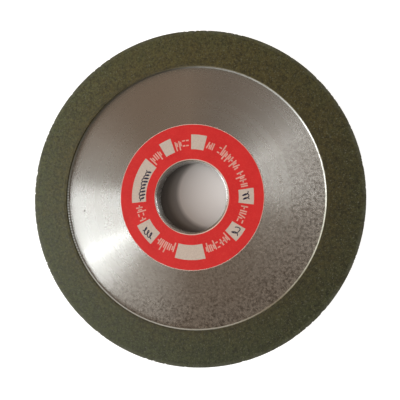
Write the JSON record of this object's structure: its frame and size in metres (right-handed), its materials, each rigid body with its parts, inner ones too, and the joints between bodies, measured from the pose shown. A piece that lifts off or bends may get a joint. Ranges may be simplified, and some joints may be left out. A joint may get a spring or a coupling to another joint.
{
  "type": "diamond grinding wheel",
  "caption": "Flat resin-bond diamond grinding wheel: turned aluminium body with a straight bore and recessed faces, a proud olive abrasive rim, and a red paper label round the bore.",
  "frame": {"origin": "centre of the wheel, on the bore's axis and half way through its thickness", "axes": "+Z along the bore's axis, out of the labelled front face"},
  "size_m": [0.15, 0.15, 0.012],
  "materials": {
    "core_aluminium": "face-turned, fine circular tool marks",
    "transition_resin": "dark olive-brown resin, ground flat",
    "diamond_resin": "olive resin with fine diamond grit, ground flat",
    "adhesive_film": "translucent pressure-sensitive adhesive",
    "label_print": "red printed paper with bare write-in windows"
  },
  "bodies": {
    "root": {"core_disc": "core_aluminium", "transition_ring": "transition_resin", "diamond_rim": "diamond_resin", "label_adhesive": "adhesive_film", "label_paper": "label_print"}
  },
  "joints": []
}
